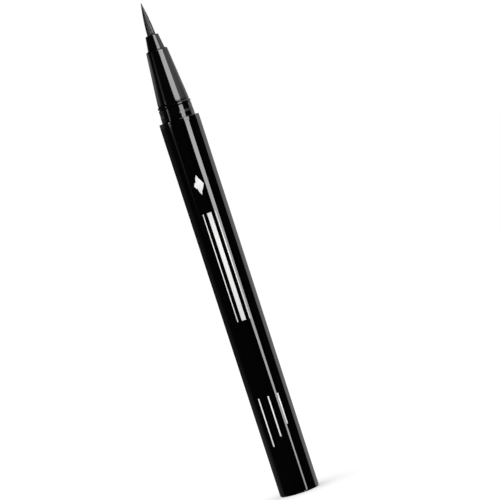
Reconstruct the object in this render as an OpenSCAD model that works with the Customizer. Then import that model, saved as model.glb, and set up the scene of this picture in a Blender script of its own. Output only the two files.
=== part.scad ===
// Liquid eyeliner pen with a brush tip and a free-ink collector, its cap taken off.
// The pen stands on its tail: Z runs up its axis from the tail face to the brush tip.

/* [Barrel] */
// Length of the barrel, from tail face to mouth
barrel_len = 97.7; // [85:0.1:120]
// Outer diameter at the tail
barrel_tail_d = 10.1; // [9.6:0.02:12]
// Outer diameter at the mouth
barrel_mouth_d = 10.32; // [9.6:0.02:12]
// Diameter of the straight bore
barrel_bore_d = 8; // [7.7:0.02:8.2]
// Radius of the rounded tail edge
tail_round = 0.5; // [0.1:0.05:0.6]
// Radius of the rounded mouth edge
mouth_round = 0.15; // [0.05:0.05:0.3]
// Height over which the crowned lip draws in towards the mouth
mouth_crown_h = 1.1; // [0.6:0.05:2]
// How far the crowned lip draws in
mouth_crown_in = 0.03; // [0.01:0.01:0.2]

/* [Tail plug] */
// Diameter of the head, let into the barrel's tail
plug_head_d = 8.2; // [8.1:0.02:8.24]
// Thickness of the head
plug_head_t = 0.9; // [0.6:0.05:1.4]
// Length of the skirt above the head
plug_skirt_len = 3.1; // [2.4:0.1:6]
// Wall of the skirt
plug_wall = 0.8; // [0.5:0.05:1.2]

/* [Ink tank] */
// Thickness of the closed end
tank_floor_t = 1; // [0.6:0.05:2]
// Wall of the tank
tank_wall = 0.52; // [0.4:0.02:0.7]
// Length of the fitted band at each end
tank_band_len = 3; // [1:0.1:6]
// Radius between the floor and the wall, inside and out
tank_round = 0.6; // [0.2:0.05:1]

/* [Mixing ball] */
// Diameter of the loose steel ball
ball_d = 4; // [3:0.1:5]

/* [Tank seal] */
// Depth of the seal in the tank's mouth
seal_depth = 4; // [2:0.1:8]
// Thickness of the flange on the tank's rim
seal_flange_t = 1; // [0.5:0.05:2]
// Diameter of the hole for ink and air
exchange_hole_d = 0.8; // [0.4:0.05:1]

/* [Collector] */
// Length of the finned body
comb_len = 19; // [12:0.1:30]
// Thickness of the disc at each end of the fins
comb_disc_t = 2; // [1:0.1:3]
// Diameter of the core that carries the fins
comb_core_d = 3.8; // [3:0.1:5]
// Thickness of a fin
fin_t = 0.45; // [0.3:0.01:0.6]
// Distance from one fin to the next
fin_pitch = 0.9; // [0.75:0.01:1.5]
// Width of the ink channel through the fins
ink_slot_w = 0.4; // [0.2:0.02:0.7]
// Width of the air channel on the other side
air_slot_w = 0.9; // [0.4:0.05:1.4]
// Length of the spigot in the nose
spigot_len = 14; // [8:0.1:18]
// Diameter of the snout behind the brush
snout_d = 3.2; // [2.8:0.05:3.2]

/* [Relay wick] */
// Diameter of the wick
wick_d = 1.7; // [1.2:0.05:1.8]
// Length of the wick that stands in the ink
wick_reach = 4; // [1:0.1:10]
// Length of the pointed front end
wick_point_len = 1.6; // [0.8:0.1:3]
// Diameter of the wick's blunt tip
wick_tip_d = 0.3; // [0.1:0.05:0.5]

/* [Neck sleeve] */
// Length of the shank in the barrel
sleeve_shank_len = 11.6; // [6:0.1:16]
// Length that shows between the barrel and the nose
sleeve_front_len = 3.4; // [2.6:0.05:4.4]
// Diameter of the neck that a cap slides over
neck_d = 8.44; // [8.36:0.01:8.5]
// Diameter of the lower neck bead
lower_bead_d = 8.56; // [8.53:0.01:8.6]
// Height of the lower neck bead, up to its sloped top
lower_bead_h = 1.25; // [0.8:0.05:1.6]
// Height of the sloped top
lower_bead_slope_h = 0.6; // [0.2:0.05:0.9]
// Wall of the shank
sleeve_wall = 0.79; // [0.6:0.01:0.9]
// Height of the bevel at each side of the seam with the nose
seam_edge = 0.18; // [0.05:0.01:0.2]
// Depth of those bevels
seam_depth = 0.3; // [0.1:0.02:0.4]

/* [Nose cone] */
// Diameter of the upper neck bead
upper_bead_d = 8.56; // [8.53:0.01:8.6]
// Height of the upper neck bead, up to its sloped top
upper_bead_h = 0.42; // [0.3:0.02:0.8]
// Height of the sloped top
upper_bead_slope_h = 0.36; // [0.2:0.02:0.6]
// Diameter where the sloped top ends
upper_bead_top_d = 8.18; // [8.1:0.02:8.4]
// Height of the crease between the bead and the cone
crease_h = 0.34; // [0.1:0.02:0.4]
// Diameter at the bottom of the crease
crease_d = 7.84; // [7.6:0.02:7.9]
// Length of the cone
cone_len = 13.58; // [10:0.1:20]
// Diameter at the foot of the cone
cone_base_d = 8.08; // [8:0.02:8.3]
// Diameter at the top of the cone
cone_top_d = 5.54; // [5.4:0.02:6.4]
// Radius of the rounded top edge
cone_round = 0.42; // [0.1:0.02:0.45]
// Length of the shank in the neck sleeve
nose_shank_len = 9.8; // [5:0.1:10.5]
// Diameter of the bore behind the lip
nose_bore_d = 4.9; // [4.6:0.02:5]
// Depth of the lip that stops the brush holder
nose_lip_len = 3; // [2:0.1:5]

/* [Brush holder] */
// Length that shows in front of the nose
collar_len = 3.8; // [2:0.1:6]
// Diameter where the holder leaves the nose
collar_base_d = 4.38; // [4.1:0.02:4.4]
// Diameter at the mouth
collar_top_d = 3.36; // [3:0.02:3.6]
// Radius of the rounded mouth edge
collar_round = 0.22; // [0.05:0.01:0.3]
// Length behind the nose's lip
holder_back_len = 4.8; // [3:0.1:7]
// Thickness of the flange that stops against the lip
holder_flange_t = 1; // [0.6:0.05:2]
// Diameter of the counterbore that takes the brush flange
holder_counterbore_d = 3.3; // [3.26:0.01:3.5]
// Depth of that counterbore
holder_counterbore_len = 4; // [2:0.1:4.5]
// Diameter of the hole for the brush
holder_bore_d = 2.28; // [2.2:0.01:2.34]

/* [Brush] */
// Length of brush in front of the holder
brush_len = 8.5; // [5:0.1:12]
// Thickness of the fused flange
brush_flange_t = 1; // [0.6:0.05:2]
// Thickness of the slice of root that carries the bristles
root_slice_t = 0.4; // [0.2:0.05:1]
// Depth of that slice inside the holder's mouth
root_recess = 0.2; // [0:0.05:1]
// Number of rings of bristles
bristle_rings = 10; // [9:1:11]
// Width of one side of a bristle
bristle_w = 0.09; // [0.06:0.005:0.092]

/* [Clearances] */
// Radial gap of parts that are pressed together
press_gap = 0.01; // [0.01:0.005:0.03]
// Radial gap of parts that slide in
slip_gap = 0.03; // [0.02:0.005:0.06]
// Gap under the loose ball
ball_gap = 0.1; // [0.05:0.05:0.5]

/* [Hidden] */

smooth = 96;
round_steps = 8;
over = 1;

black = "#0d0d0f";
black_satin = "#18181a";
milky = "#d9dcdf";
plug_grey = "#2a2a2d";
felt_white = "#e8e4da";
steel = "#b9bcc0";
bristle_black = "#1d1b1b";

// Small snap beads and lead-in edges, shared by the pressed parts
snap_h = 0.05;
snap_half = 0.3;
lead_in = 0.3;

// Radii
bore_r = barrel_bore_d / 2;
tail_r = barrel_tail_d / 2;
mouth_r = barrel_mouth_d / 2;
plug_head_r = plug_head_d / 2;
plug_seat_r = plug_head_r + slip_gap;
plug_skirt_r = bore_r - slip_gap;
band_r = bore_r - slip_gap;
tank_r = band_r - snap_h;
tank_bore_r = tank_r - tank_wall;
seal_r = tank_bore_r - press_gap;
wick_r = wick_d / 2;
wick_hole_r = wick_r + slip_gap;
comb_r = bore_r - slip_gap;
comb_core_r = comb_core_d / 2;
fin_r = comb_r - snap_h;
shank_r = bore_r - press_gap;
sleeve_bore_r = shank_r - sleeve_wall;
nose_shank_r = sleeve_bore_r - press_gap;
nose_bore_r = nose_bore_d / 2;
spigot_r = nose_bore_r - slip_gap;
snout_r = snout_d / 2;
collar_base_r = collar_base_d / 2;
nose_mouth_r = collar_base_r + slip_gap;
holder_flange_r = nose_bore_r - slip_gap;
counterbore_r = holder_counterbore_d / 2;
holder_bore_r = holder_bore_d / 2;
root_r = holder_bore_r - slip_gap;

// Heights on the axis, from the tail up
plug_top_z = plug_head_t + plug_skirt_len;
tank_floor_z = plug_top_z + tank_floor_t;
shank_end_z = barrel_len - sleeve_shank_len;
comb_rear_z = shank_end_z - comb_len;
tank_top_z = comb_rear_z - seal_flange_t;
seal_rear_z = tank_top_z - seal_depth;
wick_rear_z = seal_rear_z - wick_reach;
ball_z = tank_floor_z + ball_gap + ball_d / 2;
neck_split_z = barrel_len + sleeve_front_len;
upper_slope_z = neck_split_z + upper_bead_h;
crease_z = upper_slope_z + upper_bead_slope_h;
cone_base_z = crease_z + crease_h;
cone_top_z = cone_base_z + cone_len;
lip_z = cone_top_z - nose_lip_len;
holder_rear_z = lip_z - holder_back_len;
brush_seat_z = holder_rear_z + holder_counterbore_len;
snout_top_z = brush_seat_z - brush_flange_t;
spigot_top_z = shank_end_z + spigot_len;
collar_top_z = cone_top_z + collar_len;
brush_top_z = collar_top_z + brush_len;
slice_top_z = collar_top_z - root_recess;
slice_base_z = slice_top_z - root_slice_t;

// Places of the snap beads on the pressed parts
plug_snap_z = plug_head_t + plug_skirt_len / 2;
sleeve_snap_z = shank_end_z + sleeve_shank_len / 2;
nose_snap_z = neck_split_z - nose_shank_len / 2;

// The ink channel runs from the exchange hole along the fins
channel_r = (wick_hole_r + tank_bore_r) / 2;

// Fins that fit between the two end discs
fin_room = comb_len - 2 * comb_disc_t;
fin_count = floor(fin_room / fin_pitch);
fin_start_z = comb_rear_z + comb_disc_t + (fin_room - fin_count * fin_pitch + fin_pitch - fin_t) / 2;

// The bristles draw in along a curve: heights as shares of their length, then the curve's power
level_shares = [0, 0.3, 0.55, 0.78];
ogive_power = 1.6;
// Share of its foot that the bundle keeps at the point
point_share = 0.07;
// Share of the length by which the outer ring is shorter
stagger_share = 0.12;
strands_per_ring = 6;
bristle_foot_z = slice_top_z - root_slice_t / 4;
bristle_len = brush_top_z - bristle_foot_z;
ring_step = (root_r - slip_gap) / bristle_rings;
level_count = len(level_shares);
strand_points_count = 3 * level_count + 1;

// Points of a round of radius r about centre c, from angle a to angle b
function round_points(c, r, a, b) =
    [for (i = [0:round_steps]) let (turn = a + (b - a) * i / round_steps) c + r * [cos(turn), sin(turn)]];

// A low snap bead, or the groove for it, read down the wall at radius r
function snap_points(r, z, half, h) =
    [[r, z + half], [r + h, z + half - h], [r + h, z - half + h], [r, z - half]];

// The same bead read up the wall
function snap_points_up(r, z, half, h) =
    [[r, z - half], [r + h, z - half + h], [r + h, z + half - h], [r, z + half]];

// The curve by which the barrel's wall draws in, up to height z
function crown_points(z) = [
    for (i = [0:round_steps - 1])
        let (share = i / round_steps)
        [mouth_r - mouth_crown_in * share * share, z - mouth_crown_h * (1 - share)]
];

module turned(outline) {
    rotate_extrude($fn = smooth)
        polygon(outline);
}

// A straight hole from z0 to z1, with its overrun at both ends
module hole(r, z0, z1) {
    translate([0, 0, z0 - over])
        cylinder(r = r, h = z1 - z0 + 2 * over, $fn = smooth);
}

// The outer tube: it tapers slightly, as a moulded tube must, and draws in to a crowned lip
module barrel() {
    crown_turn = atan(2 * mouth_crown_in / mouth_crown_h);
    edge = [mouth_r - mouth_crown_in - mouth_round * cos(crown_turn), barrel_len - mouth_round];
    crown_top_z = edge.y + mouth_round * sin(crown_turn);
    color(black)
        turned(concat(
            [[plug_seat_r, 0]],
            round_points([tail_r - tail_round, tail_round], tail_round, -90, 0),
            crown_points(crown_top_z),
            round_points(edge, mouth_round, crown_turn, 90),
            [[bore_r, barrel_len]],
            snap_points(bore_r, sleeve_snap_z, snap_half + slip_gap, snap_h),
            snap_points(bore_r, plug_snap_z, snap_half + slip_gap, snap_h),
            [[bore_r, plug_head_t], [plug_seat_r, plug_head_t]]
        ));
}

// A cup pushed in from the tail, its head flush with the barrel's end
module tail_plug() {
    color(plug_grey)
        turned(concat(
            [[0, 0], [plug_head_r, 0], [plug_head_r, plug_head_t], [plug_skirt_r, plug_head_t]],
            snap_points_up(plug_skirt_r, plug_snap_z, snap_half, snap_h),
            [
                [plug_skirt_r, plug_top_z - lead_in],
                [plug_skirt_r - lead_in, plug_top_z],
                [plug_skirt_r - plug_wall, plug_top_z],
                [plug_skirt_r - plug_wall, plug_head_t],
                [0, plug_head_t]
            ]
        ));
}

// A closed cup, guided in the barrel by a band at each end
module ink_tank() {
    color(milky)
        turned(concat(
            [[0, plug_top_z]],
            round_points([band_r - tank_round, plug_top_z + tank_round], tank_round, -90, 0),
            [
                [band_r, plug_top_z + tank_band_len],
                [tank_r, plug_top_z + tank_band_len + snap_h],
                [tank_r, tank_top_z - tank_band_len - snap_h],
                [band_r, tank_top_z - tank_band_len],
                [band_r, tank_top_z],
                [tank_bore_r, tank_top_z]
            ],
            round_points([tank_bore_r - tank_round, tank_floor_z + tank_round], tank_round, 0, -90),
            [[0, tank_floor_z]]
        ));
}

// Rests on the tank floor while the pen stands, and runs the length of the tank when shaken
module mixing_ball() {
    color(steel)
        translate([0, 0, ball_z])
            sphere(d = ball_d, $fn = smooth);
}

// Closes the tank: the wick passes its centre, ink and air pass beside it
module tank_seal() {
    color(milky)
        difference() {
            turned([
                [wick_hole_r, seal_rear_z],
                [seal_r - lead_in, seal_rear_z],
                [seal_r, seal_rear_z + lead_in],
                [seal_r, tank_top_z],
                [band_r, tank_top_z],
                [band_r, comb_rear_z],
                [wick_hole_r, comb_rear_z]
            ]);
            translate([channel_r, 0, 0])
                hole(exchange_hole_d / 2, seal_rear_z, comb_rear_z);
        }
}

// A comb of fins on a core, with a spigot and a snout that reach into the nose
module collector() {
    color(milky)
        difference() {
            union() {
                translate([0, 0, comb_rear_z])
                    cylinder(r = comb_core_r, h = comb_len, $fn = smooth);
                translate([0, 0, comb_rear_z])
                    cylinder(r = comb_r, h = comb_disc_t, $fn = smooth);
                for (i = [0:fin_count - 1])
                    translate([0, 0, fin_start_z + i * fin_pitch])
                        cylinder(r = fin_r, h = fin_t, $fn = smooth);
                translate([0, 0, shank_end_z - comb_disc_t])
                    cylinder(r = comb_r, h = comb_disc_t, $fn = smooth);
                translate([0, 0, shank_end_z - comb_disc_t])
                    cylinder(r = spigot_r, h = spigot_len + comb_disc_t, $fn = smooth);
                translate([0, 0, spigot_top_z - comb_disc_t])
                    cylinder(r = snout_r, h = snout_top_z - spigot_top_z + comb_disc_t, $fn = smooth);
            }
            hole(wick_hole_r, comb_rear_z, snout_top_z);
            ink_channel();
            air_channel();
        }
}

// Narrow slot from the exchange hole along all the fins
module ink_channel() {
    channel_start = channel_r - exchange_hole_d / 2;
    translate([channel_start, -ink_slot_w / 2, comb_rear_z - over])
        cube([comb_r - channel_start + over, ink_slot_w, comb_len - comb_disc_t + over]);
}

// Wider slot on the far side, down to the core, open to both discs
module air_channel() {
    translate([-comb_r - over, -air_slot_w / 2, comb_rear_z + comb_disc_t])
        cube([comb_r - comb_core_r + over, air_slot_w, comb_len - comb_disc_t + over]);
}

// A fibre rod from the ink to the root of the brush
module relay_wick() {
    color(felt_white)
        turned([
            [0, wick_rear_z],
            [wick_r, wick_rear_z],
            [wick_r, snout_top_z],
            [wick_tip_d / 2, snout_top_z + wick_point_len],
            [0, snout_top_z + wick_point_len]
        ]);
}

// Shank in the barrel, then the lower neck bead that rests on the barrel's mouth
module neck_sleeve() {
    neck_r = neck_d / 2;
    bead_r = lower_bead_d / 2;
    bead_slope_z = barrel_len + lower_bead_h;
    color(black)
        turned(concat(
            [
                [sleeve_bore_r, shank_end_z],
                [shank_r - lead_in, shank_end_z],
                [shank_r, shank_end_z + lead_in]
            ],
            snap_points_up(shank_r, sleeve_snap_z, snap_half, snap_h),
            [
                [shank_r, barrel_len],
                [bead_r, barrel_len],
                [bead_r, bead_slope_z],
                [neck_r, bead_slope_z + lower_bead_slope_h],
                [neck_r, neck_split_z - seam_edge],
                [neck_r - seam_depth, neck_split_z],
                [sleeve_bore_r, neck_split_z]
            ],
            snap_points(sleeve_bore_r, nose_snap_z, snap_half + slip_gap, snap_h)
        ));
}

// Upper neck bead, crease and cone, on a shank that pushes into the neck sleeve
module nose_cone() {
    bead_r = upper_bead_d / 2;
    crease_r = crease_d / 2;
    crease_edge = crease_h / 3;
    base_r = cone_base_d / 2;
    top_r = cone_top_d / 2;
    rear_z = neck_split_z - nose_shank_len;
    color(black)
        turned(concat(
            [[nose_bore_r, rear_z], [nose_shank_r - lead_in, rear_z], [nose_shank_r, rear_z + lead_in]],
            snap_points_up(nose_shank_r, nose_snap_z, snap_half, snap_h),
            [
                [nose_shank_r, neck_split_z],
                [bead_r - seam_depth, neck_split_z],
                [bead_r, neck_split_z + seam_edge],
                [bead_r, upper_slope_z],
                [upper_bead_top_d / 2, crease_z],
                [crease_r, crease_z + crease_edge],
                [crease_r, cone_base_z - crease_edge],
                [base_r, cone_base_z]
            ],
            round_points([top_r - cone_round, cone_top_z - cone_round], cone_round, 0, 90),
            [[nose_mouth_r, cone_top_z], [nose_mouth_r, lip_z], [nose_bore_r, lip_z]]
        ));
}

// Tapered collar in front, flange behind the nose's lip, stepped bore for the brush
module tip_holder() {
    top_r = collar_top_d / 2;
    color(black_satin)
        turned(concat(
            [
                [counterbore_r, holder_rear_z],
                [collar_base_r, holder_rear_z],
                [collar_base_r, lip_z - holder_flange_t],
                [holder_flange_r, lip_z - holder_flange_t],
                [holder_flange_r, lip_z],
                [collar_base_r, lip_z],
                [collar_base_r, cone_top_z]
            ],
            round_points([top_r - collar_round, collar_top_z - collar_round], collar_round, 0, 90),
            [[holder_bore_r, collar_top_z], [holder_bore_r, brush_seat_z], [counterbore_r, brush_seat_z]]
        ));
}

// Packed root of the brush: its flange is clamped between the snout and the holder
module brush_root() {
    color(bristle_black)
        turned([
            [wick_hole_r, snout_top_z],
            [counterbore_r - slip_gap, snout_top_z],
            [counterbore_r - slip_gap, brush_seat_z],
            [root_r, brush_seat_z],
            [root_r, slice_base_z],
            [0, slice_base_z],
            [0, snout_top_z + wick_point_len + slip_gap],
            [wick_tip_d / 2 + slip_gap, snout_top_z + wick_point_len + slip_gap]
        ]);
}

// How wide the bundle is at share h of its length, as a share of its foot
function spread(h) = point_share + (1 - point_share) * (1 - pow(h, ogive_power));

// Three corners of a bristle in ring j at angle a and share h, its flat side outward
function bristle_corners(j, a, h) =
    let (s = spread(h), outer = j * ring_step * s, half = bristle_w / 2 * s)
    let (inner = outer - half * tan(60), z = bristle_foot_z + h * bristle_len)
    let (out = [cos(a), sin(a)], side = [-sin(a), cos(a)])
    [
        [outer * out.x - half * side.x, outer * out.y - half * side.y, z],
        [outer * out.x + half * side.x, outer * out.y + half * side.y, z],
        [inner * out.x, inner * out.y, z]
    ];

// Tip of a bristle: the outer rings are shorter
function bristle_tip(j, a) =
    let (h = 1 - stagger_share * j / bristle_rings, r = (j * ring_step - bristle_w / 2) * spread(h))
    [r * cos(a), r * sin(a), bristle_foot_z + h * bristle_len];

function bristle_points(j, a) =
    concat([for (h = level_shares) each bristle_corners(j, a, h)], [bristle_tip(j, a)]);

// Triangles of one bristle whose points start at index n
function bristle_faces(n) =
    let (last = 3 * (level_count - 1), tip = 3 * level_count)
    concat(
        [[n, n + 1, n + 2]],
        [
            for (i = [0:level_count - 2], e = [0:2])
                let (a = n + 3 * i + e, b = n + 3 * i + (e + 1) % 3)
                each [[a, a + 3, b + 3], [a, b + 3, b]]
        ],
        [for (e = [0:2]) [n + last + e, n + tip, n + last + (e + 1) % 3]]
    );

// Ring j holds 6 j bristles, so the rings are as close along as across
bristle_places = [
    for (j = [1:bristle_rings], k = [0:strands_per_ring * j - 1])
        [j, 360 * k / (strands_per_ring * j)]
];
bristle_count = len(bristle_places);

// Tapered bristles that draw in to a point, on a slice of the root
module brush_bristles() {
    color(bristle_black)
        union() {
            translate([0, 0, slice_base_z])
                cylinder(r = root_r, h = root_slice_t, $fn = smooth);
            polyhedron(
                points = [for (place = bristle_places) each bristle_points(place[0], place[1])],
                faces = [for (i = [0:bristle_count - 1]) each bristle_faces(i * strand_points_count)]
            );
        }
}

barrel();
tail_plug();
ink_tank();
mixing_ball();
tank_seal();
collector();
relay_wick();
neck_sleeve();
nose_cone();
tip_holder();
brush_root();
brush_bristles();
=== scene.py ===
# Liquid eyeliner pen: looks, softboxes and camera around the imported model

import math
import random

import bpy
from mathutils import Matrix, Vector


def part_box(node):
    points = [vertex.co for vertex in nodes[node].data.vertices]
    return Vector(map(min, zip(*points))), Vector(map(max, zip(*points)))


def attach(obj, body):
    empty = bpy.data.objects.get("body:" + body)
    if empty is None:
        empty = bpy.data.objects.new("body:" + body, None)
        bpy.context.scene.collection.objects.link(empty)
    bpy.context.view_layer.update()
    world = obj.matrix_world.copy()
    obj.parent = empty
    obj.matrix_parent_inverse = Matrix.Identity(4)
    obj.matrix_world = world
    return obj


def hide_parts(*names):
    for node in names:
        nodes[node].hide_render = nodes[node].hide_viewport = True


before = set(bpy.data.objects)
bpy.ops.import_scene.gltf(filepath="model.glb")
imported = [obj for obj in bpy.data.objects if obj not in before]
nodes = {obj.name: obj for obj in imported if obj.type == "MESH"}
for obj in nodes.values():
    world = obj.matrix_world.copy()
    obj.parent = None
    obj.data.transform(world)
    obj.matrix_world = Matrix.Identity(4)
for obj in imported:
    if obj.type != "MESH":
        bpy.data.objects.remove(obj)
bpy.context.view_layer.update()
mm = 0.001
print("frame loaded:", len(nodes), "nodes")


def toLinear(hexColour):
    channels = [int(hexColour[i:i + 2], 16) / 255 for i in (1, 3, 5)]
    return [c / 12.92 if c <= 0.04045 else ((c + 0.055) / 1.055) ** 2.4 for c in channels] + [1]


def perMetre(sizeMm):
    # texture scale at which one cell of a pattern is this many millimetres
    return 1 / (sizeMm * mm)


def addNode(tree, kind, settings=None, links=None):
    # adds one node, sets its properties and sockets by name or number, and links its inputs
    node = tree.nodes.new(kind)
    for key, value in (settings or {}).items():
        if isinstance(key, int) or key in node.inputs:
            node.inputs[key].default_value = value
        else:
            setattr(node, key, value)
    for key, source in (links or {}).items():
        tree.links.new(source, node.inputs[key])
    return node


def newMaterial(name, **sockets):
    # a Principled material, its plain values set straight on the shader
    material = bpy.data.materials.new(name)
    material.use_nodes = True
    tree = material.node_tree
    shader = tree.nodes["Principled BSDF"]
    for key, value in sockets.items():
        shader.inputs[key.replace("_", " ")].default_value = value
    place = addNode(tree, "ShaderNodeTexCoord").outputs["Object"]
    return material, tree, shader, place


def addNoise(tree, place, sizeMm, stretch=1, detail=3):
    # noise in cells of a real size, drawn out along the pen by stretch
    lie = addNode(tree, "ShaderNodeMapping", {"Scale": (1, 1, 1 / stretch)}, {"Vector": place})
    return addNode(tree, "ShaderNodeTexNoise", {"Scale": perMetre(sizeMm), "Detail": detail},
                   {"Vector": lie.outputs["Vector"]}).outputs["Fac"]


def spreadTo(tree, value, low, high):
    # brings a noise value, which lies mostly between 0.3 and 0.7, to a range
    return addNode(tree, "ShaderNodeMapRange",
                   {"From Min": 0.3, "From Max": 0.7, "To Min": low, "To Max": high},
                   {"Value": value}).outputs["Result"]


def colourFrom(tree, shader, pattern, first, second):
    # base colour that goes from one hex value to the other with a pattern
    colours = {"data_type": "RGBA", 6: toLinear(first), 7: toLinear(second)}
    mix = addNode(tree, "ShaderNodeMix", colours, {"Factor": pattern})
    tree.links.new(mix.outputs[2], shader.inputs["Base Color"])


def roughnessFrom(tree, shader, pattern, span):
    # roughness that moves over a span with a pattern
    tree.links.new(spreadTo(tree, pattern, *span), shader.inputs["Roughness"])


def addBump(tree, shader, height, depthMm):
    bump = addNode(tree, "ShaderNodeBump", {"Distance": depthMm * mm, "Strength": 1},
                   {"Height": height})
    tree.links.new(bump.outputs["Normal"], shader.inputs["Normal"])


# Materials

def glossAbsMoulded():
    # ABS moulded in a mirror-polished tool: deep black, a hard sharp reflection,
    # only a trace of orange peel and fine lengthwise polishing haze
    finish = {"deep": "#020203", "worn": "#040405", "cloudMm": 14, "hazeMm": 0.35,
              "roughness": (0.03, 0.05), "peelMm": 2.4, "peelDepthMm": 0.0004}
    material, tree, shader, place = newMaterial("glossAbsMoulded", IOR=1.54)
    cloud = addNoise(tree, place, finish["cloudMm"], stretch=3)
    colourFrom(tree, shader, cloud, finish["deep"], finish["worn"])
    haze = addNoise(tree, place, finish["hazeMm"], stretch=40)
    roughnessFrom(tree, shader, haze, finish["roughness"])
    peel = addNoise(tree, place, finish["peelMm"], stretch=4, detail=1)
    addBump(tree, shader, peel, finish["peelDepthMm"])
    return material


def glossPolypropyleneMoulded():
    # black polypropylene, snap-fit grade: a shade greyer and waxier than the barrel
    finish = {"deep": "#030304", "pale": "#060607", "flowMm": 5, "hazeMm": 0.3,
              "roughness": (0.05, 0.08), "peelMm": 1.6, "peelDepthMm": 0.0003}
    material, tree, shader, place = newMaterial("glossPolypropyleneMoulded", IOR=1.5)
    flow = addNoise(tree, place, finish["flowMm"], stretch=2)
    colourFrom(tree, shader, flow, finish["deep"], finish["pale"])
    haze = addNoise(tree, place, finish["hazeMm"], stretch=12)
    roughnessFrom(tree, shader, haze, finish["roughness"])
    peel = addNoise(tree, place, finish["peelMm"], stretch=3, detail=1)
    addBump(tree, shader, peel, finish["peelDepthMm"])
    return material


def sparkErodedPolypropylene():
    # the plug's tool is spark-eroded, which leaves a fine even matt grain
    finish = {"low": "#0f0f10", "high": "#1a1a1c", "grainMm": 0.09,
              "roughness": (0.42, 0.6), "grainDepthMm": 0.008}
    material, tree, shader, place = newMaterial("sparkErodedPolypropylene", IOR=1.49)
    grain = addNoise(tree, place, finish["grainMm"], detail=2)
    colourFrom(tree, shader, grain, finish["low"], finish["high"])
    roughnessFrom(tree, shader, grain, finish["roughness"])
    addBump(tree, shader, grain, finish["grainDepthMm"])
    return material


def naturalPolypropylene():
    # unpigmented polypropylene: milky, light passes a little way in, waxy surface
    finish = {"thin": "#d6dade", "thick": "#e6e9ea", "depthMm": 1.2, "flowMm": 4, "grainMm": 0.25,
              "roughness": (0.28, 0.4), "grainDepthMm": 0.002}
    material, tree, shader, place = newMaterial(
        "naturalPolypropylene", IOR=1.49,
        Subsurface_Weight=0.35, Subsurface_Scale=finish["depthMm"] * mm)
    flow = addNoise(tree, place, finish["flowMm"], stretch=3)
    colourFrom(tree, shader, flow, finish["thin"], finish["thick"])
    grain = addNoise(tree, place, finish["grainMm"])
    roughnessFrom(tree, shader, grain, finish["roughness"])
    addBump(tree, shader, grain, finish["grainDepthMm"])
    return material


def tumbledSteel():
    # stainless ball, tumbled bright: mirror-like with a faint scatter of tiny scratches
    finish = {"bright": "#cdced0", "dull": "#bcbdc0", "scratchMm": 0.12,
              "roughness": (0.06, 0.16), "scratchDepthMm": 0.0006}
    material, tree, shader, place = newMaterial("tumbledSteel", Metallic=1)
    scratch = addNoise(tree, place, finish["scratchMm"], detail=4)
    colourFrom(tree, shader, scratch, finish["bright"], finish["dull"])
    roughnessFrom(tree, shader, scratch, finish["roughness"])
    addBump(tree, shader, scratch, finish["scratchDepthMm"])
    return material


def bondedPolyesterWick():
    # polyester fibres bonded to a rod and soaked with ink: dark, dull, ribbed lengthwise
    finish = {"soaked": "#141111", "fibre": "#2b2625", "fibreMm": 0.06,
              "roughness": (0.55, 0.75), "fibreDepthMm": 0.02}
    material, tree, shader, place = newMaterial("bondedPolyesterWick", IOR=1.57)
    fibre = addNoise(tree, place, finish["fibreMm"], stretch=30)
    colourFrom(tree, shader, fibre, finish["soaked"], finish["fibre"])
    roughnessFrom(tree, shader, fibre, finish["roughness"])
    addBump(tree, shader, fibre, finish["fibreDepthMm"])
    return material


def wetNylonFilament():
    # tapered nylon filaments under a film of ink: black, and the film adds a wet satin
    # gleam along the side that faces the light. Ink dries dull at the foot
    finish = {"ink": "#070606", "bare": "#131111", "clumpMm": 0.3, "roughness": (0.3, 0.48),
              "footMm": (119.6, 120.5), "footDulls": 0.4}
    material, tree, shader, place = newMaterial(
        "wetNylonFilament", IOR=1.53, Coat_Weight=1, Coat_Roughness=0.3, Coat_IOR=1.5)
    streak = addNoise(tree, place, finish["clumpMm"], stretch=30)
    colourFrom(tree, shader, streak, finish["ink"], finish["bare"])
    height = addNode(tree, "ShaderNodeSeparateXYZ", None, {"Vector": place}).outputs["Z"]
    low, high = finish["footMm"]
    wet = addNode(tree, "ShaderNodeMapRange", {"From Min": low * mm, "From Max": high * mm},
                  {"Value": height}).outputs["Result"]
    tree.links.new(wet, shader.inputs["Coat Weight"])
    dull = addNode(tree, "ShaderNodeMath",
                   {"operation": "MULTIPLY_ADD", 1: -finish["footDulls"], 2: finish["footDulls"]},
                   {0: wet}).outputs[0]
    rough = addNode(tree, "ShaderNodeMath", {"operation": "ADD"},
                    {0: spreadTo(tree, streak, *finish["roughness"]), 1: dull}).outputs[0]
    tree.links.new(rough, shader.inputs["Roughness"])
    return material


def fusedNylonRoot():
    # the same filaments melted together: darker, lumpy, with their ends still to be seen
    finish = {"ink": "#0b0a0a", "bare": "#1d1a1a", "filamentMm": 0.09,
              "roughness": (0.4, 0.6), "filamentDepthMm": 0.015}
    material, tree, shader, place = newMaterial("fusedNylonRoot", IOR=1.53)
    ends = addNoise(tree, place, finish["filamentMm"], stretch=6)
    colourFrom(tree, shader, ends, finish["ink"], finish["bare"])
    roughnessFrom(tree, shader, ends, finish["roughness"])
    addBump(tree, shader, ends, finish["filamentDepthMm"])
    return material


def screenPrintWhite():
    # opaque white screen ink: satin, with the trace of the screen's mesh
    finish = {"ink": "#f1f1ef", "thin": "#e3e3e1", "meshMm": 0.12,
              "roughness": (0.35, 0.5), "meshDepthMm": 0.001}
    material, tree, shader, place = newMaterial("screenPrintWhite", IOR=1.5)
    mesh = addNoise(tree, place, finish["meshMm"], detail=1)
    colourFrom(tree, shader, mesh, finish["ink"], finish["thin"])
    roughnessFrom(tree, shader, mesh, finish["roughness"])
    addBump(tree, shader, mesh, finish["meshDepthMm"])
    return material


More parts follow.
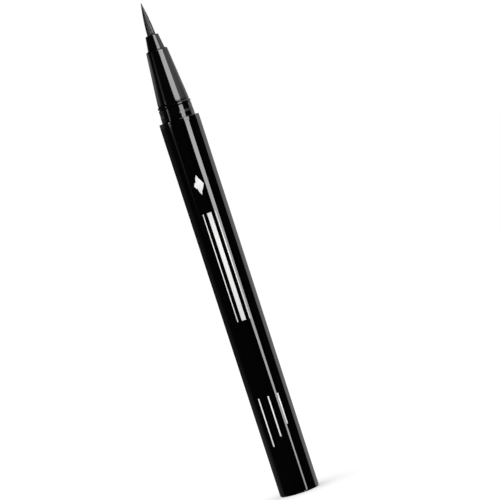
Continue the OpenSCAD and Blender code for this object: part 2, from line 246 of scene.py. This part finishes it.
nodeFinishes = {
    "barrel": glossAbsMoulded(),
    "tail_plug": sparkErodedPolypropylene(),
    "neck_sleeve": glossPolypropyleneMoulded(),
    "ink_tank": naturalPolypropylene(),
    "mixing_ball": tumbledSteel(),
    "relay_wick": bondedPolyesterWick(),
    "brush_root": fusedNylonRoot(),
    "brush_bristles": wetNylonFilament(),
}
nodeFinishes["nose_cone"] = nodeFinishes["tip_holder"] = nodeFinishes["neck_sleeve"]
nodeFinishes["tank_seal"] = nodeFinishes["collector"] = nodeFinishes["ink_tank"]
for name, finish in nodeFinishes.items():
    nodes[name].data.materials.clear()
    nodes[name].data.materials.append(finish)
print("materials on", len(nodeFinishes), "nodes")


def makePiece(name, points, faces, material):
    mesh = bpy.data.meshes.new(name)
    mesh.from_pydata(points, [], faces)
    mesh.shade_smooth()
    mesh.materials.append(material)
    piece = bpy.data.objects.new(name, mesh)
    bpy.context.scene.collection.objects.link(piece)
    return piece


def latheMesh(outline, count):
    # turns an outline of (radius, height) points about the pen's axis
    points, faces, rows = [], [], []
    for radius, z in outline:
        if radius == 0:
            rows.append([len(points)] * count)
            points.append(Vector((0, 0, z)))
        else:
            rows.append([len(points) + i for i in range(count)])
            for i in range(count):
                a = 2 * math.pi * i / count
                points.append(Vector((radius * math.cos(a), radius * math.sin(a), z)))
    for lower, upper in zip(rows, rows[1:]):
        for i in range(count):
            corners = [lower[i], lower[(i + 1) % count], upper[(i + 1) % count], upper[i]]
            faces.append(list(dict.fromkeys(corners)))
    return points, faces


# Brush: filaments in rings that draw in to a point, on a fused disc

brush = {
    "rings": 17, "strandsPerRing": 6, "sides": 4, "levels": 12, "seed": 7,
    "filamentMm": 0.086, "discDepthMm": 0.35, "edgeMm": 0.03, "discSides": 64,
    # shares of a filament's width, of the bundle's radius at the point and in the grooves
    # between clumps, and of the length by which a filament may end short
    "tipShare": 0.25, "pointShare": 0.07, "grooveShare": 0.16, "shorterShare": 0.45,
    "ogivePower": 1.6, "endPower": 10, "endRounding": 0.6, "leanMm": -0.08,
    "clumps": 15, "clumpPull": 0.35, "grooveLimit": 1.5, "twist": 0.3, "stray": 0.25,
}


def brushStrand(ringShare, turn, clumpTurn, footZ, tipZ, footRadius, draw, points, faces):
    # one filament: it thins as the bundle draws in, and dips in the grooves between the clumps
    end = 1 - brush["shorterShare"] * draw.random() ** 2
    off = min(abs(clumpTurn - turn) * brush["clumps"] / math.pi, brush["grooveLimit"])
    groove = 1 - brush["grooveShare"] * ringShare * off ** 2
    start, sides, levels = len(points), brush["sides"], brush["levels"]
    twist = math.pi / sides + draw.uniform(-1, 1) * brush["twist"]
    for level in range(levels + 1):
        along = level / levels
        h = end * along
        bundle = brush["pointShare"] + (1 - brush["pointShare"]) * (1 - h ** brush["ogivePower"])
        reach = footRadius * bundle * ringShare * groove
        lean = turn + (clumpTurn - turn) * brush["clumpPull"] * h
        x = reach * math.cos(lean) + brush["leanMm"] * mm * h
        centre = Vector((x, reach * math.sin(lean), footZ + h * (tipZ - footZ)))
        if level == levels:
            points.append(centre)
            break
        thin = brush["tipShare"] + (1 - brush["tipShare"]) * bundle
        ending = (1 - along ** brush["endPower"]) ** brush["endRounding"]
        width = brush["filamentMm"] * mm / 2 * thin * ending
        for side in range(sides):
            a = turn + twist + 2 * math.pi * side / sides
            points.append(centre + Vector((width * math.cos(a), width * math.sin(a), 0)))
    faces.append([start + side for side in reversed(range(sides))])
    for level in range(levels - 1):
        for side in range(sides):
            a = start + level * sides + side
            b = start + level * sides + (side + 1) % sides
            faces.append([a, b, b + sides, a + sides])
    last = start + (levels - 1) * sides
    for side in range(sides):
        faces.append([last + side, last + (side + 1) % sides, len(points) - 1])


def makeBrush():
    draw = random.Random(brush["seed"])
    low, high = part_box("brush_bristles")
    radius, edge = high.x, brush["edgeMm"] * mm
    discTop = low.z + brush["discDepthMm"] * mm
    outline = [(0, low.z), (radius, low.z), (radius, discTop - edge), (radius - edge, discTop),
               (0, discTop)]
    points, faces = latheMesh(outline, brush["discSides"])
    clumps = [draw.uniform(0, 2 * math.pi) for c in range(brush["clumps"])]
    footRadius = radius - brush["filamentMm"] * mm / 2
    for ring in range(1, brush["rings"] + 1):
        count = brush["strandsPerRing"] * ring
        for k in range(count):
            turn = 2 * math.pi * (k + draw.uniform(-brush["stray"], brush["stray"])) / count
            clump = min(clumps, key=lambda c: abs(math.remainder(c - turn, 2 * math.pi)))
            clump = turn + math.remainder(clump - turn, 2 * math.pi)
            brushStrand(ring / brush["rings"], turn, clump, discTop - edge, high.z, footRadius,
                        draw, points, faces)
    piece = makePiece("brushFilaments", points, faces, nodeFinishes["brush_bristles"])
    piece.data.shade_flat()
    return piece


filaments = makeBrush()
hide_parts("brush_bristles")
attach(filaments, "pen")
print("brush made:", len(filaments.data.polygons), "faces")


# Print: plain bars, hairlines and a lozenge where such pens carry their print

printFilm = {"thicknessMm": 0.014, "sinkMm": 0.02, "columns": 10}
printShapes = {
    # name: (turn from the front in degrees, [(height, half width)] in mm)
    "printLozenge": (-3, [(78.1, 0.03), (80.6, 1.25), (83.1, 0.03)]),
    "printBar": (0, [(45.3, 0.55), (73.3, 0.55)]),
    "printBarLeft": (-18, [(45.3, 0.12), (73.3, 0.12)]),
    "printBarRight": (18, [(45.3, 0.12), (73.3, 0.12)]),
    "printLineRight": (27, [(17.5, 0.17), (25.5, 0.17)]),
    "printLineMiddle": (-2, [(15, 0.17), (25.5, 0.17)]),
    "printLineLeft": (-31, [(13, 0.17), (25.5, 0.17)]),
}


def wallRadius(node, z):
    # outer radius of a straight-tapered node at a height, from its two widest rings
    corners = [(v.co.z, math.hypot(v.co.x, v.co.y)) for v in node.data.vertices]
    middle = (max(c[0] for c in corners) + min(c[0] for c in corners)) / 2
    lowZ, lowR = max((c for c in corners if c[0] < middle), key=lambda c: c[1])
    highZ, highR = max((c for c in corners if c[0] > middle), key=lambda c: c[1])
    return lowR + (highR - lowR) * (z - lowZ) / (highZ - lowZ)


def makePrint(name, turn, stations):
    # a thin film that follows the barrel's round wall
    points, faces = [], []
    columns = printFilm["columns"]
    rows = []
    for height, half in stations:
        z = height * mm
        wall = wallRadius(nodes["barrel"], z)
        row = []
        for radius in (wall - printFilm["sinkMm"] * mm, wall + printFilm["thicknessMm"] * mm):
            ring = []
            for c in range(columns + 1):
                a = math.radians(turn) + (2 * c / columns - 1) * half * mm / wall
                ring.append(len(points))
                points.append((radius * math.sin(a), -radius * math.cos(a), z))
            row.append(ring)
        rows.append(row)
    for (underA, topA), (underB, topB) in zip(rows, rows[1:]):
        for c in range(columns):
            faces.append([topA[c], topA[c + 1], topB[c + 1], topB[c]])
            faces.append([underA[c], underB[c], underB[c + 1], underA[c + 1]])
        faces.append([underA[0], topA[0], topB[0], underB[0]])
        faces.append([underA[-1], underB[-1], topB[-1], topA[-1]])
    for (under, top), flip in ((rows[0], 1), (rows[-1], -1)):
        for c in range(columns):
            faces.append([under[c], under[c + 1], top[c + 1], top[c]][::flip])
    return makePiece(name, points, faces, printWhite)


printWhite = screenPrintWhite()
for name, (turn, stations) in printShapes.items():
    film = makePrint(name, turn, stations)
    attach(film, "pen")
print("print made:", len(printShapes), "shapes")


# Studio: white floor, dark tent, softboxes that only the gloss sees

studio = {
    "floorColour": "#ffffff", "floorHalf": 6, "worldStrength": 1.0,
    "tentRadius": 0.6, "tentColour": "#121212", "tentSegments": 48, "tentRings": 24,
    "cardColumns": 24,
    "lampSize": 0.5, "lampWatts": 0.6, "lampPlace": (-0.15, -0.1, 0.6), "lampAim": (0, 0, 0.05),
}


def stageOnly(thing, camera=False, diffuse=False, glossy=True, transmission=False, shadow=False):
    thing.visible_camera = camera
    thing.visible_diffuse = diffuse
    thing.visible_glossy = glossy
    thing.visible_transmission = transmission
    thing.visible_shadow = shadow
    thing.visible_volume_scatter = False


def makeFloor():
    half = studio["floorHalf"]
    corners = [(-half, -half, 0), (half, -half, 0), (half, half, 0), (-half, half, 0)]
    material, tree, shader, place = newMaterial("paintedFloor", Roughness=1, Specular_IOR_Level=0)
    shader.inputs["Base Color"].default_value = toLinear(studio["floorColour"])
    floor = makePiece("studioFloor", corners, [[0, 1, 2, 3]], material)
    # the gloss shows the dark tent in place of the floor, which would turn the black pen grey
    stageOnly(floor, camera=True, diffuse=True, glossy=False, transmission=True, shadow=True)


def makeTent():
    # black velvet all round, so that the gloss shows the softboxes and little else
    material, tree, shader, place = newMaterial("blackVelvet", Roughness=1, Specular_IOR_Level=0)
    shader.inputs["Base Color"].default_value = toLinear(studio["tentColour"])
    bpy.ops.mesh.primitive_uv_sphere_add(radius=studio["tentRadius"],
                                         segments=studio["tentSegments"],
                                         ring_count=studio["tentRings"])
    tent = bpy.context.object
    tent.name = "darkTent"
    tent.data.materials.append(material)
    stageOnly(tent)


def glowMaterial(name):
    # a diffuser's glow, its strength given at each corner of the card's grid
    material = bpy.data.materials.new(name)
    material.use_nodes = True
    tree = material.node_tree
    tree.nodes.clear()
    glow = addNode(tree, "ShaderNodeAttribute", {"attribute_name": "glow"})
    light = addNode(tree, "ShaderNodeEmission", None, {"Strength": glow.outputs["Fac"]})
    addNode(tree, "ShaderNodeOutputMaterial", None, {"Surface": light.outputs["Emission"]})
    return material


# each card: distance from the pen's axis, as (height, distance) in mm, and levels of (height mm,
# from, to in degrees right of the camera, glow at even steps across). Two black flags beside the
# barrel keep the key card out of its edges seen from behind and from the left
cards = {
    "keyCard": {"distance": [(0, 250)], "levels": [
        (-500, 37, 48, [6.6, 6.6]), (-70, 39.4, 47.9, [6.6, 6.6]), (-28, 39.4, 47.9, [6.6, 6.6]),
        (-17, 39.5, 48, [8, 8]), (16, 36.1, 48.6, [8, 8]), (42, 33, 49.6, [8, 8]),
        (66, 31, 51, [8.6, 8.6]),
        (89, 27.7, 51.4, [9, 9]), (101, 28.6, 51.8, [8.4, 8.4]), (105, 27.2, 54, [9.1, 9.1]),
        (107.5, 27.2, 56, [6.5, 6.5]), (111, 27.2, 57, [6.5, 6.5]), (118, 27.2, 57, [8.3, 8.3]),
        (150, 27, 57.5, [7.6, 7.6]), (155, 24, 58, [9.4, 9.4]), (158, 18, 58.5, [9.4, 9.4]),
        (166, 17.6, 61, [9.4, 9.4]), (172, 17, 62.5, [9.4, 9.4]), (177, 16.5, 60, [8.8, 8.8]),
        (180, 16, 48, [8.8, 8.8]), (183, 16, 54, [8.8, 8.8]), (187, 15, 52, [8.8, 8.8]),
        (189.5, 14, 59, [8.8, 8.8]), (196, 14, 60, [8.6, 8.6]), (199, 17, 60, [8.6, 8.6]),
        (206, 24, 56, [8.6, 8.6]), (235, 20, 56, [8.6, 8.6]), (260, 5, 56, [7, 8]),
        (380, 0, 56, [7, 8]), (430, 0, 56, [0, 0])]},
    "rightPanel": {"distance": [(0, 300)], "levels": [
        (-120, 113.5, 176, [1.2, 0.8, 0.34, 0.12]), (-28, 113.5, 176, [1.2, 0.8, 0.34, 0.12]),
        (42, 111.5, 176, [1.2, 0.8, 0.34, 0.12]), (100, 111.5, 176, [1.2, 0.8, 0.34, 0.12]),
        (104, 109, 176, [1.3, 0.9, 0.4, 0.12]), (126, 108, 176, [1.3, 0.9, 0.4, 0.12]),
        (132, 50, 176, [0.45, 0.3, 0.9, 0.2]), (144, 52, 176, [0.45, 0.4, 0.8, 0.2]),
        (150, 55, 176, [0.6, 0.7, 0.7, 0.2]), (154.5, 55, 176, [0.8, 0.9, 0.6, 0.12]),
        (158, 50, 176, [1.45, 1, 0.6, 0.12]), (173, 50, 176, [1.45, 1, 0.6, 0.12]),
        (176, 50, 176, [0.6, 0.5, 0.4, 0.12]), (178.5, 50, 176, [0.65, 0.6, 0.4, 0.12]),
        (180, 50, 176, [1.4, 1, 0.6, 0.12]), (182, 50, 176, [2.1, 1.4, 0.8, 0.12]),
        (188, 50, 176, [2.2, 1.5, 0.8, 0.12]), (196, 50, 176, [1.45, 1, 0.6, 0.12]),
        (480, 50, 176, [1.45, 1, 0.6, 0.12])]},
    "frontFlag": {"distance": [(80, 13), (88, 10)], "levels": [
        (-10, 2, 27, [0, 0]), (80, 2, 25, [0, 0]), (88, -2, 19, [0, 0]), (97, -2, 18, [0, 0])]},
    "sideFlag": {"distance": [(0, 22)], "levels": [
        (-10, 48, 66, [0, 0]), (80, 48, 66, [0, 0]), (88, 49, 68, [0, 0]), (98, 49, 68, [0, 0])]},
    "leftPanel": {"distance": [(0, 300)], "levels": [
        (-500, -176, -90, [0.05, 0.1, 0.14, 0.12, 0]),
        (-18, -176, -90, [0.05, 0.1, 0.14, 0.12, 0]),
        (12, -176, -90, [0.01, 0.02, 0.05, 0.055, 0]),
        (100, -176, -90, [0.01, 0.02, 0.05, 0.055, 0]),
        (104, -176, -84, [0.05, 0.15, 0.2, 0]), (118, -176, -84, [0.05, 0.15, 0.2, 0]),
        (130, -176, -86, [0.07, 0.22, 0.3, 0]), (137, -176, -90, [0.1, 0.33, 0.48, 0]),
        (142, -176, -97, [0.15, 0.45, 0.72, 0]), (149, -176, -96, [0.15, 0.48, 0.85, 0]),
        (155, -176, -92, [0.15, 0.5, 0.9, 0]), (159, -176, -90, [0.15, 0.5, 0.9, 0]),
        (164, -176, -90, [0.04, 0.1, 0.15, 0]), (205, -176, -90, [0, 0, 0, 0])]},
    "leftStrip": {"distance": [(0, 300)], "levels": [
        (55, -64, -56, [0, 0]), (67, -64, -56, [0.035, 0.035]), (90, -65, -56, [0.18, 0.18]),
        (97, -65, -56, [0.22, 0.22]), (100, -65, -55, [0.45, 0.45]), (103, -64.5, -56.5, [2, 2]),
        (107, -63, -54, [2.4, 2.4]), (110, -66, -51, [1.6, 1.6]), (118, -69, -55, [1, 1]),
        (124, -67, -56, [3, 3]), (129, -64, -55, [6, 6]), (133, -64, -55, [6, 6]),
        (136, -63, -55, [0.3, 0.3]), (156, -63, -54, [0.4, 0.4]), (157.4, -63, -54, [5.5, 5.5]),
        (158.4, -63, -54, [5.5, 5.5]), (159.3, -64, -50, [0.8, 0.8]), (161, -67, -53, [0.35, 0.35]),
        (164, -71, -56, [0.28, 0.28]), (168, -69, -53, [0.4, 0.4]), (175, -69, -53, [0.32, 0.32]),
        (184, -69, -53, [0, 0])]},
}


def acrossAt(values, share):
    # value at a share of the way through an evenly spaced list
    place = share * (len(values) - 1)
    step = min(int(place), len(values) - 2)
    return values[step] + (values[step + 1] - values[step]) * (place - step)


def distanceAt(stations, height):
    # distance from the axis at a height, even between stations and held beyond the outer ones
    for (lowZ, lowD), (highZ, highD) in zip(stations, stations[1:]):
        if height < highZ:
            return (lowD + (highD - lowD) * max(0, (height - lowZ) / (highZ - lowZ))) * mm
    return stations[-1][1] * mm


def makeCard(name, card):
    points, faces, glows = [], [], []
    columns = studio["cardColumns"]
    for height, fromAngle, toAngle, glow in card["levels"]:
        reach = distanceAt(card["distance"], height)
        for c in range(columns + 1):
            a = math.radians(acrossAt([fromAngle, toAngle], c / columns))
            points.append((reach * math.sin(a), -reach * math.cos(a), height * mm))
            glows.append(acrossAt(glow, c / columns))
    for row in range(len(card["levels"]) - 1):
        for c in range(columns):
            a = row * (columns + 1) + c
            faces.append([a, a + 1, a + columns + 2, a + columns + 1])
    piece = makePiece(name, points, faces, glowMaterial(name + "Glow"))
    attribute = piece.data.attributes.new("glow", "FLOAT", "POINT")
    attribute.data.foreach_set("value", glows)
    stageOnly(piece)


def makeWorld():
    world = bpy.data.worlds.new("studioWorld")
    bpy.context.scene.world = world
    world.use_nodes = True
    background = world.node_tree.nodes["Background"]
    background.inputs["Color"].default_value = (1, 1, 1, 1)
    background.inputs["Strength"].default_value = studio["worldStrength"]


def makeLamp():
    lamp = bpy.data.lights.new("overheadLamp", "AREA")
    lamp.shape = "DISK"
    lamp.size = studio["lampSize"]
    lamp.energy = studio["lampWatts"]
    thing = bpy.data.objects.new("overheadLamp", lamp)
    thing.location = studio["lampPlace"]
    aim = Vector(studio["lampAim"])
    thing.rotation_euler = (aim - thing.location).to_track_quat("-Z", "Y").to_euler()
    thing.visible_glossy = False
    bpy.context.scene.collection.objects.link(thing)


makeFloor()
makeTent()
for name, card in cards.items():
    makeCard(name, card)
makeWorld()
makeLamp()
print("studio made:", len(cards), "cards")


# Camera: 0.7 m away and level with the pen's middle, rolled so that the pen's top leans to the
# left

view = {
    "lens": 202.2, "sensor": 36, "distanceMm": 700, "heightMm": 85, "aimMm": (6.78, 0, 61.21),
    "roll": 17.986, "nearShare": 0.1, "farShare": 20,
}


def makeCamera():
    data = bpy.data.cameras.new("productCamera")
    data.lens = view["lens"]
    data.sensor_width = view["sensor"]
    distance = view["distanceMm"] * mm
    data.clip_start, data.clip_end = distance * view["nearShare"], distance * view["farShare"]
    camera = bpy.data.objects.new("productCamera", data)
    aim = Vector(view["aimMm"]) * mm
    place = Vector((aim.x, -distance, view["heightMm"] * mm))
    turn = (place - aim).to_track_quat("Z", "Y").to_matrix().to_4x4()
    camera.matrix_world = (Matrix.Translation(place) @ turn
                           @ Matrix.Rotation(math.radians(-view["roll"]), 4, "Z"))
    bpy.context.scene.collection.objects.link(camera)
    bpy.context.scene.camera = camera


makeCamera()
bpy.context.scene.view_settings.view_transform = "Standard"
print("camera placed")
